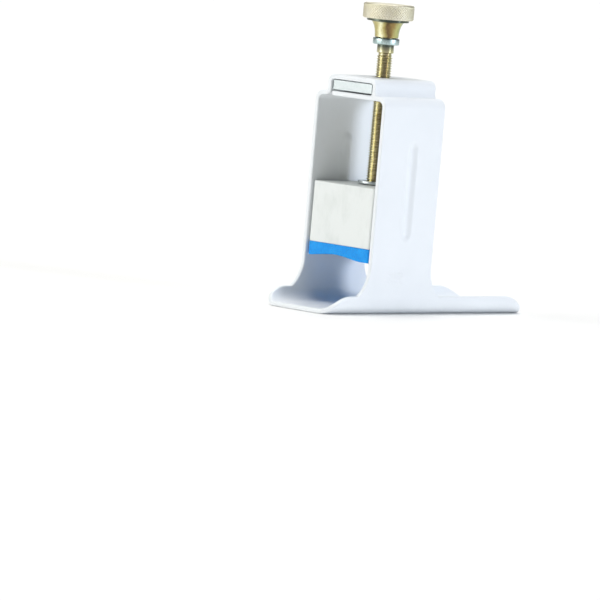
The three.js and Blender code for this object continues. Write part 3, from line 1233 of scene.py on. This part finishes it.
    def _lattice(self) -> np.ndarray:
        """Lays out the points that the faces are drawn through.

        Returns:
            Flat points: fine at the ribs, in rows at the bends.
        """
        rows = grid(np.arange(self.heel, self.tongue, self.flat_step), self.stations)
        reach = self.rib_length / 2 + self.rib_width / 4
        half = self.rib_width / 2 + 0.0004
        across = np.arange(-half, half, 0.0003) + self.rib_offset
        up = np.arange(-reach, reach, 0.0006) + self.rib_centre
        far = grid(across, self._flat_distance(up))
        place, _ = self.path.at(rows[:, 1])
        in_rib = (
            (np.abs(rows[:, 0] - self.rib_offset) < half + self.rib_margin)
            & (np.abs(place[:, 1] - self.rib_centre) < reach + self.rib_margin)
            & (np.abs(place[:, 0]) > self.half_width - self.sheet)
        )
        return np.vstack([rows[~in_rib], far, far * (1, -1)])

    def build(self) -> None:
        """Builds the sheet and dresses it."""
        hat_middle = (self.path.starts[12] + self.path.starts[13]) / 2
        middles = (hat_middle, self.path.starts[0] + self.tab_end)
        holes = [[(x, y + middle) for x, y in circle(self.hole_radius, 72)] for middle in middles]
        blank = Blank(self._drawn(self._outline()), self.sheet, self.edge, holes=holes)
        mesh = blank.solid("splint_frame", self._placed, self._lattice())
        finish_piece("splint_frame", mesh, self.coat, Body.LOOP, Slot.COAT, "frame")


# Screw and its ring


@dataclass
class ThumbScrew:
    """Turned screw: threaded rod, neck, flare and knurled head, with the bright ring under the flare."""

    zinc: bpy.types.Material
    knurled: bpy.types.Material
    bright: bpy.types.Material
    rod_radius: float = 0.0025
    root_radius: float = 0.00205
    tip_chamfer: float = 0.0006
    pitch: float = 0.0008
    thread_foot: float = 0.86
    thread_crest: float = 0.16
    sunk: float = 0.00008
    neck_radius: float = 0.00265
    neck_round: float = 0.0002
    neck_over_hat: float = 0.00765
    neck_length: float = 0.0027
    flare_foot: float = 0.00375
    flare_top: float = 0.0053
    flare_length: float = 0.00495
    flare_curve: tuple[Point, ...] = (
        (0, 0), (0.15, 0.02), (0.3, 0.06), (0.43, 0.12), (0.55, 0.2), (0.66, 0.305),
        (0.75, 0.42), (0.83, 0.55), (0.9, 0.69), (0.955, 0.84), (1, 1),
    )
    rim_radius: float = 0.00665
    head_radius: float = 0.008
    head_thickness: float = 0.0047
    head_chamfer: float = 0.00038
    knurl_teeth: int = 58
    knurl_depth: float = 0.00022
    ring_round: float = 0.00035
    hair: float = 0.0001
    segments: int = 96

    def __post_init__(self) -> None:
        """Takes the heights from the frame."""
        low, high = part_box("thumb_screw")
        self.tip, self.head_foot = low.z, high.z - self.head_thickness
        self.neck_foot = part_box("frame")[1].z + self.neck_over_hat
        self.ring_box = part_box("collar_ring")
        ring = self.ring_box[1].z - self.ring_box[0].z
        self.flare_start = self.neck_foot + self.neck_length + ring + 3 * self.hair

    def _core(self) -> bpy.types.Mesh:
        """Turns the rod's root, neck, flare and the rim under the head.

        Returns:
            Their mesh, as one shape.
        """
        spread, hair = self.flare_top - self.flare_foot, self.hair
        rim_low = self.flare_start + self.flare_length
        inside = self.head_foot + 4 * hair
        flare = [
            (self.flare_foot + s * spread, self.flare_start + r * self.flare_length)
            for r, s in self.flare_curve
        ]
        profile = [
            (0.0, self.tip),
            (self.root_radius - self.tip_chamfer, self.tip),
            (self.root_radius, self.tip + self.tip_chamfer),
            (self.root_radius, self.neck_foot - hair),
            (self.neck_radius - self.neck_round, self.neck_foot),
            (self.neck_radius, self.neck_foot + self.neck_round),
            (self.neck_radius, self.flare_start - 1.2 * hair),
            (self.flare_foot - self.neck_round, self.flare_start - hair),
            *flare,
            (self.rim_radius - hair, rim_low),
            (self.rim_radius, rim_low + hair),
            (self.rim_radius, inside),
            (0.0, inside),
        ]
        return lathed("screw_core", profile, self.segments)

    def _thread(self) -> bpy.types.Mesh:
        """Sweeps the thread's ridge along its helix, tapered at both ends.

        Returns:
            The ridge's mesh.
        """
        sizes = {
            "Pitch": self.pitch,
            "Length": self.neck_foot - self.tip - 4 * self.hair,
            "Start height": self.tip + self.hair,
            "Root radius": self.root_radius - self.sunk,
            "Ridge height": self.rod_radius - self.root_radius + self.sunk,
            "Foot width": self.pitch * self.thread_foot,
            "Crest width": self.pitch * self.thread_crest,
            "Steps per turn": 40,
        }
        shape = ShapeTree("thread_ridge", sizes)
        board = shape.board
        turns = shape["Length"] / shape["Pitch"]
        spiral = {
            "Resolution": shape["Steps per turn"],
            "Rotations": turns,
            "Start Radius": shape["Root radius"],
            "End Radius": shape["Root radius"],
            "Height": shape["Length"],
            "Reverse": True,
        }
        helix = board.add("GeometryNodeCurveSpiral", {}, spiral)
        upright = board.add("GeometryNodeSetCurveNormal", {"mode": "Z_UP"}, {"Curve": helix})
        section = {
            "Height": shape["Ridge height"],
            "Bottom Width": shape["Foot width"],
            "Top Width": shape["Crest width"],
            "Offset": 0.0,
        }
        trapezoid = board.add("GeometryNodeCurvePrimitiveQuadrilateral", {"mode": "TRAPEZOID"}, section)
        outward = shape.moved(trapezoid, "Y", shape["Ridge height"] * 0.5)
        outwards = {"Geometry": outward, "Rotation": (0.0, 0.0, -QUARTER)}
        turned = board.add("GeometryNodeTransform", {}, outwards)
        share = board.add("GeometryNodeSplineParameter", output="Factor")
        ends = (share * (1.0 - share) * turns).math("MINIMUM", 1.0).math("MAXIMUM", 0.02)
        swept = {"Curve": upright, "Profile Curve": turned, "Scale": ends, "Fill Caps": True}
        ridge = board.add("GeometryNodeCurveToMesh", {}, swept)
        return shape.built("screw_thread", shape.moved(ridge, "Z", shape["Start height"]), self.zinc)

    def _knurl(self) -> bpy.types.Mesh:
        """Presses a diamond knurl into the side of a fine cylinder, along two helices.

        Returns:
            The head's mesh.
        """
        sizes = {
            "Radius": self.head_radius,
            "Thickness": self.head_thickness,
            "Foot height": self.head_foot,
            "Chamfer": self.head_chamfer,
            "Groove depth": self.knurl_depth,
            "Teeth": self.knurl_teeth,
            "Columns": self.knurl_teeth * 8,
            "Rows": 44,
        }
        shape = ShapeTree("diamond_knurl", sizes)
        board = shape.board
        cylinder = {
            "Vertices": shape["Columns"],
            "Side Segments": shape["Rows"],
            "Radius": shape["Radius"],
            "Depth": shape["Thickness"],
        }
        drum = board.add("GeometryNodeMeshCylinder", {"fill_type": "NGON"}, cylinder)
        place = board.add("GeometryNodeInputPosition")
        x, y, z = board.split(place)
        around = y.math("ARCTAN2", x) * (shape["Teeth"] * (1 / math.tau))
        climb = z * shape["Teeth"] / (shape["Radius"] * math.tau)
        first, second = (
            (slant.math("FRACT") - 0.5).math("ABSOLUTE") * 2.0 for slant in (around + climb, around - climb)
        )
        from_edge = (shape["Thickness"] * 0.5 - z.math("ABSOLUTE")) / shape["Chamfer"]
        past = (1.0 - from_edge).math("MAXIMUM", 0.0)
        fade = (from_edge - 0.4).math("MINIMUM", 1.0).math("MAXIMUM", 0.0)
        inward = past * shape["Chamfer"] + first.math("MAXIMUM", second) * shape["Groove depth"] * fade
        scale = 1.0 - inward / shape["Radius"]
        flat = board.add("ShaderNodeCombineXYZ", {}, {"X": scale, "Y": scale, "Z": 1.0})
        pressed = board.vector("MULTIPLY", (place, flat))
        cut = board.add("GeometryNodeSetPosition", {}, {"Geometry": drum, "Position": pressed})
        lifted = shape.moved(cut, "Z", shape["Thickness"] * 0.5 + shape["Foot height"])
        return shape.built("screw_knurl", lifted, self.knurled)

    def build(self) -> None:
        """Builds the screw's parts and its ring, and dresses them."""
        parts = (
            ("screw_core", self._core(), self.zinc),
            ("screw_thread", self._thread(), self.zinc),
            ("screw_knurl", self._knurl(), self.knurled),
        )
        for name, mesh, material in parts:
            finish_piece(name, mesh, material, Body.SCREW, Slot.YELLOW, "thumb_screw")
        ring = ring_mesh("collar", self.ring_box, self.neck_radius + 3 * self.hair, self.ring_round)
        finish_piece("collar", ring, self.bright, Body.SCREW, Slot.BRIGHT, "collar_ring")


# Press block, pad and threaded plate


@dataclass
class Press:
    """Sliding plastic block with a foam pad under it and a washer round the screw's foot."""

    plastic: bpy.types.Material
    foam: bpy.types.Material
    bright: bpy.types.Material
    corner: float = 0.0008
    channel_width: float = 0.0054
    channel_floor: float = 0.0122
    channel_offset: float = 0.0008
    channel_mouth: float = 0.0005
    channel_round: float = 0.00015
    block_edge: float = 0.00035
    pad_edge: float = 0.00025
    pad_lift: float = 0.00028
    pad_dent: float = 0.0011
    dent_half_width: float = 0.0115
    dent_offset: float = 0.0015
    seat_radius: float = 0.0028
    seat_depth: float = 0.006
    washer_round: float = 0.0002
    step: float = 0.0016
    pad_step: float = 0.0007

    def _plan(self, node: str, step: float) -> tuple[list[Point], np.ndarray]:
        """Draws a rectangle with round corners and a channel at each side.

        Args:
            node: Node that gives the rectangle.
            step: About the length of a piece of its sides.

        Returns:
            The outline, and an even grid over it.
        """
        low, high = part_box(node)
        start = self.channel_offset - self.channel_width / 2
        end = self.channel_offset + self.channel_width / 2
        near = [
            (low.x, low.y, self.corner),
            (start, low.y, self.channel_mouth),
            (start, -self.channel_floor, self.channel_round),
            (end, -self.channel_floor, self.channel_round),
            (end, low.y, self.channel_mouth),
            (high.x, low.y, self.corner),
        ]
        outline = rounded(near + [(x, -y, radius) for x, y, radius in reversed(near)], 5)
        drawn: list[Point] = []
        for (x, y), onward in zip(outline, [*outline[1:], outline[0]]):
            count = max(1, round(math.dist((x, y), onward) / step))
            shares = [i / count for i in range(count)]
            drawn += [(x + (onward[0] - x) * share, y + (onward[1] - y) * share) for share in shares]
        return drawn, grid(np.arange(low.x, high.x, step), np.arange(low.y, high.y, step))

    def _block(self) -> bpy.types.Mesh:
        """Makes the block, with the screw's seat sunk into its top.

        Returns:
            Its mesh.
        """
        low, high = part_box("press_block")
        seat = (circle(self.seat_radius, 48), self.seat_depth)
        outline, lattice = self._plan("press_block", self.step)
        blank = Blank(outline, high.z - low.z, self.block_edge, pockets=[seat])
        return blank.solid("press_pad_block", laid_flat((low.z + high.z) / 2), lattice)

    def _pad(self) -> bpy.types.Mesh:
        """Makes the foam pad, whose underside keeps a shallow groove from the finger.

        Returns:
            Its mesh.
        """
        low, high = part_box("foam_pad")
        thick = high.z + self.pad_lift - low.z
        middle = low.z + thick / 2

        def place(points: np.ndarray, offsets: np.ndarray) -> np.ndarray:
            """Lays the pad level and lifts its underside at the groove.

            Args:
                points: Flat points.
                offsets: Their offsets from the middle.

            Returns:
                Their places in space.
            """
            share = np.clip(np.abs(points[:, 1] - self.dent_offset) / self.dent_half_width, 0, 1)
            groove = self.pad_dent * (1 - share**2) ** 2
            depth = np.clip(0.5 - offsets / thick, 0, 1)
            return np.column_stack([points, middle + offsets + groove * depth])

        outline, lattice = self._plan("foam_pad", self.pad_step)
        return Blank(outline, thick, self.pad_edge, edge_steps=4).solid("finger_pad", place, lattice)

    def build(self) -> None:
        """Builds the block, pad and washer, and dresses them."""
        finish_piece(
            "press_pad_block", self._block(), self.plastic, Body.PRESS, Slot.PLASTIC, "press_block"
        )
        pad = finish_piece("finger_pad", self._pad(), self.foam, Body.PRESS, Slot.FOAM, "foam_pad")
        washer = ring_mesh("foot_ring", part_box("foot_washer"), self.seat_radius, self.washer_round)
        finish_piece("foot_ring", washer, self.bright, Body.PRESS, Slot.BRIGHT, "foot_washer")


@dataclass
class ThreadPlate:
    """Steel plate with the screw's thread, caught between the tab and the hat."""

    bright: bpy.types.Material
    hole_radius: float = 0.0028
    corner: float = 0.0004
    edge: float = 0.0002
    lift: float = 0.00012
    drop: float = 0.0001
    widening: float = 0.0003
    forward: float = 0.0006
    step: float = 0.002

    def build(self) -> None:
        """Builds the plate and dresses it."""
        low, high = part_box("nut_plate")
        low -= Vector((self.forward, self.widening, self.drop))
        high += Vector((0, self.widening, self.lift))
        corners = [(low.x, low.y), (high.x, low.y), (high.x, high.y), (low.x, high.y)]
        outline = rounded([(x, y, self.corner) for x, y in corners], 4)
        blank = Blank(outline, high.z - low.z, self.edge, holes=[circle(self.hole_radius, 48)])
        lattice = grid(np.arange(low.x, high.x, self.step), np.arange(low.y, high.y, self.step))
        mesh = blank.solid("thread_plate", laid_flat((low.z + high.z) / 2), lattice)
        finish_piece("thread_plate", mesh, self.bright, Body.LOOP, Slot.BRIGHT, "nut_plate")


# Studio


@dataclass(frozen=True)
class Lamp:
    """Soft distant light: its direction from the object, strength, angle in degrees and colour."""

    name: str
    towards: Triple
    power: float
    spread: float
    colour: Triple = WHITE

    def build(self) -> None:
        """Adds the light."""
        light = bpy.data.lights.new(self.name, "SUN")
        light.energy = self.power
        light.angle = math.radians(self.spread)
        light.color = self.colour
        linked(self.name, light).rotation_euler = Vector(self.towards).to_track_quat("Z", "Y").to_euler()


@dataclass
class Studio:
    """Pale floor, soft lights and the room's own light."""

    floor: bpy.types.Material
    floor_radius: float = 14.0
    floor_height: float = -0.00005
    floor_sides: int = 96
    ambient: float = 0.06
    air: Triple = (0.97, 0.985, 1.0)
    lamps: tuple[Lamp, ...] = (
        Lamp("top_light", (0.02, 0.05, 1.0), 2.5, 56),
        Lamp("right_light", (0.33, -0.94, 0.16), 1.82, 14, (0.81, 0.87, 0.985)),
        Lamp("left_light", (-0.93, 0.37, 0.22), 1.92, 40, (1.0, 1.0, 0.985)),
        Lamp("back_light", (0.55, 0.6, 0.6), 0.55, 50),
    )

    def build(self) -> None:
        """Sets up the floor, the room and the lights."""
        rim = [(x, y, self.floor_height) for x, y in reversed(circle(self.floor_radius, self.floor_sides))]
        mesh = mesh_of("floor", np.array(rim), [range(self.floor_sides)])
        mesh.materials.append(self.floor)
        linked("floor", mesh)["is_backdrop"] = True
        world = bpy.data.worlds.new("studio")
        bpy.context.scene.world = world
        world.use_nodes = True
        board = Board(world.node_tree)
        sky = board.add("ShaderNodeBackground", {}, {"Color": self.air, "Strength": self.ambient})
        board.add("ShaderNodeOutputWorld", {}, {"Surface": sky})
        for lamp in self.lamps:
            lamp.build()
        bpy.context.scene.view_settings.view_transform = "Standard"


@dataclass(frozen=True)
class PhotoCamera:
    """Camera at the photograph's viewing angle, with lengths in metres and angles in degrees."""

    heading: float = 46.894
    dip: float = 4.945
    roll: float = 5.028
    distance: float = 1.890437
    aim_height: float = 0.04
    shift_right: float = -0.023023
    shift_up: float = -0.036815
    focal_pixels: float = 6039.476
    picture_pixels: float = 600.0
    sensor: float = 36.0
    clip: Point = (0.05, 60.0)

    def build(self) -> None:
        """Makes the camera."""
        turn, dip, roll = (math.radians(a) for a in (self.heading, self.dip, self.roll))
        ahead = Vector((math.sin(turn) * math.cos(dip), math.cos(turn) * math.cos(dip), -math.sin(dip)))
        level = Vector((math.cos(turn), -math.sin(turn), 0))
        upright = level.cross(ahead)
        right = level * math.cos(roll) + upright * math.sin(roll)
        up = upright * math.cos(roll) - level * math.sin(roll)
        aim = Vector((0, 0, self.aim_height))
        place = aim - ahead * self.distance + right * self.shift_right + up * self.shift_up
        data = bpy.data.cameras.new("photo_camera")
        data.sensor_width = self.sensor
        data.lens = self.focal_pixels / self.picture_pixels * self.sensor
        data.clip_start, data.clip_end = self.clip
        camera = linked("photo_camera", data)
        turned = Matrix((right, up, -ahead)).transposed()
        camera.matrix_world = Matrix.Translation(place) @ turned.to_4x4()
        bpy.context.scene.camera = camera


def main() -> None:
    """Builds the splint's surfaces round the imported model, lights them and sets the camera."""
    logging.basicConfig(level=logging.INFO, format="%(name)s: %(message)s")
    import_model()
    cad_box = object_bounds()
    PhotoCamera().build()
    yellow = YellowZinc().built()
    # The knurled head takes a tenth of the film with its painted highlight and reflection, and none of the
    # painted shade.
    knurled = YellowZinc(
        "knurled_zinc",
        pale=(0.76, 0.73, 0.62),
        gold=(0.66, 0.62, 0.47),
        film_and_reflection_share=0.10,
        roughness=0.52,
        painted_shade_share=0.0,
        root_shade_share=0.0,
    ).built()
    bright = BrightZinc().built()
    ring_zinc = BrightZinc("ring_zinc", light=(0.50, 0.61, 0.60), dark=(0.33, 0.45, 0.44)).built()
    SheetLoop(PowderCoat().built()).build()
    ThreadPlate(bright).build()
    ThumbScrew(yellow, knurled, ring_zinc).build()
    Press(PalePlastic().built(), BlueFoam().built(), bright).build()
    Studio(Tabletop().built()).build()
    boxes = {"cad": cad_box, "visual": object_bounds()}
    {name: [list(corner) for corner in box] for name, box in boxes.items()}


if __name__ == "__main__":
    main()
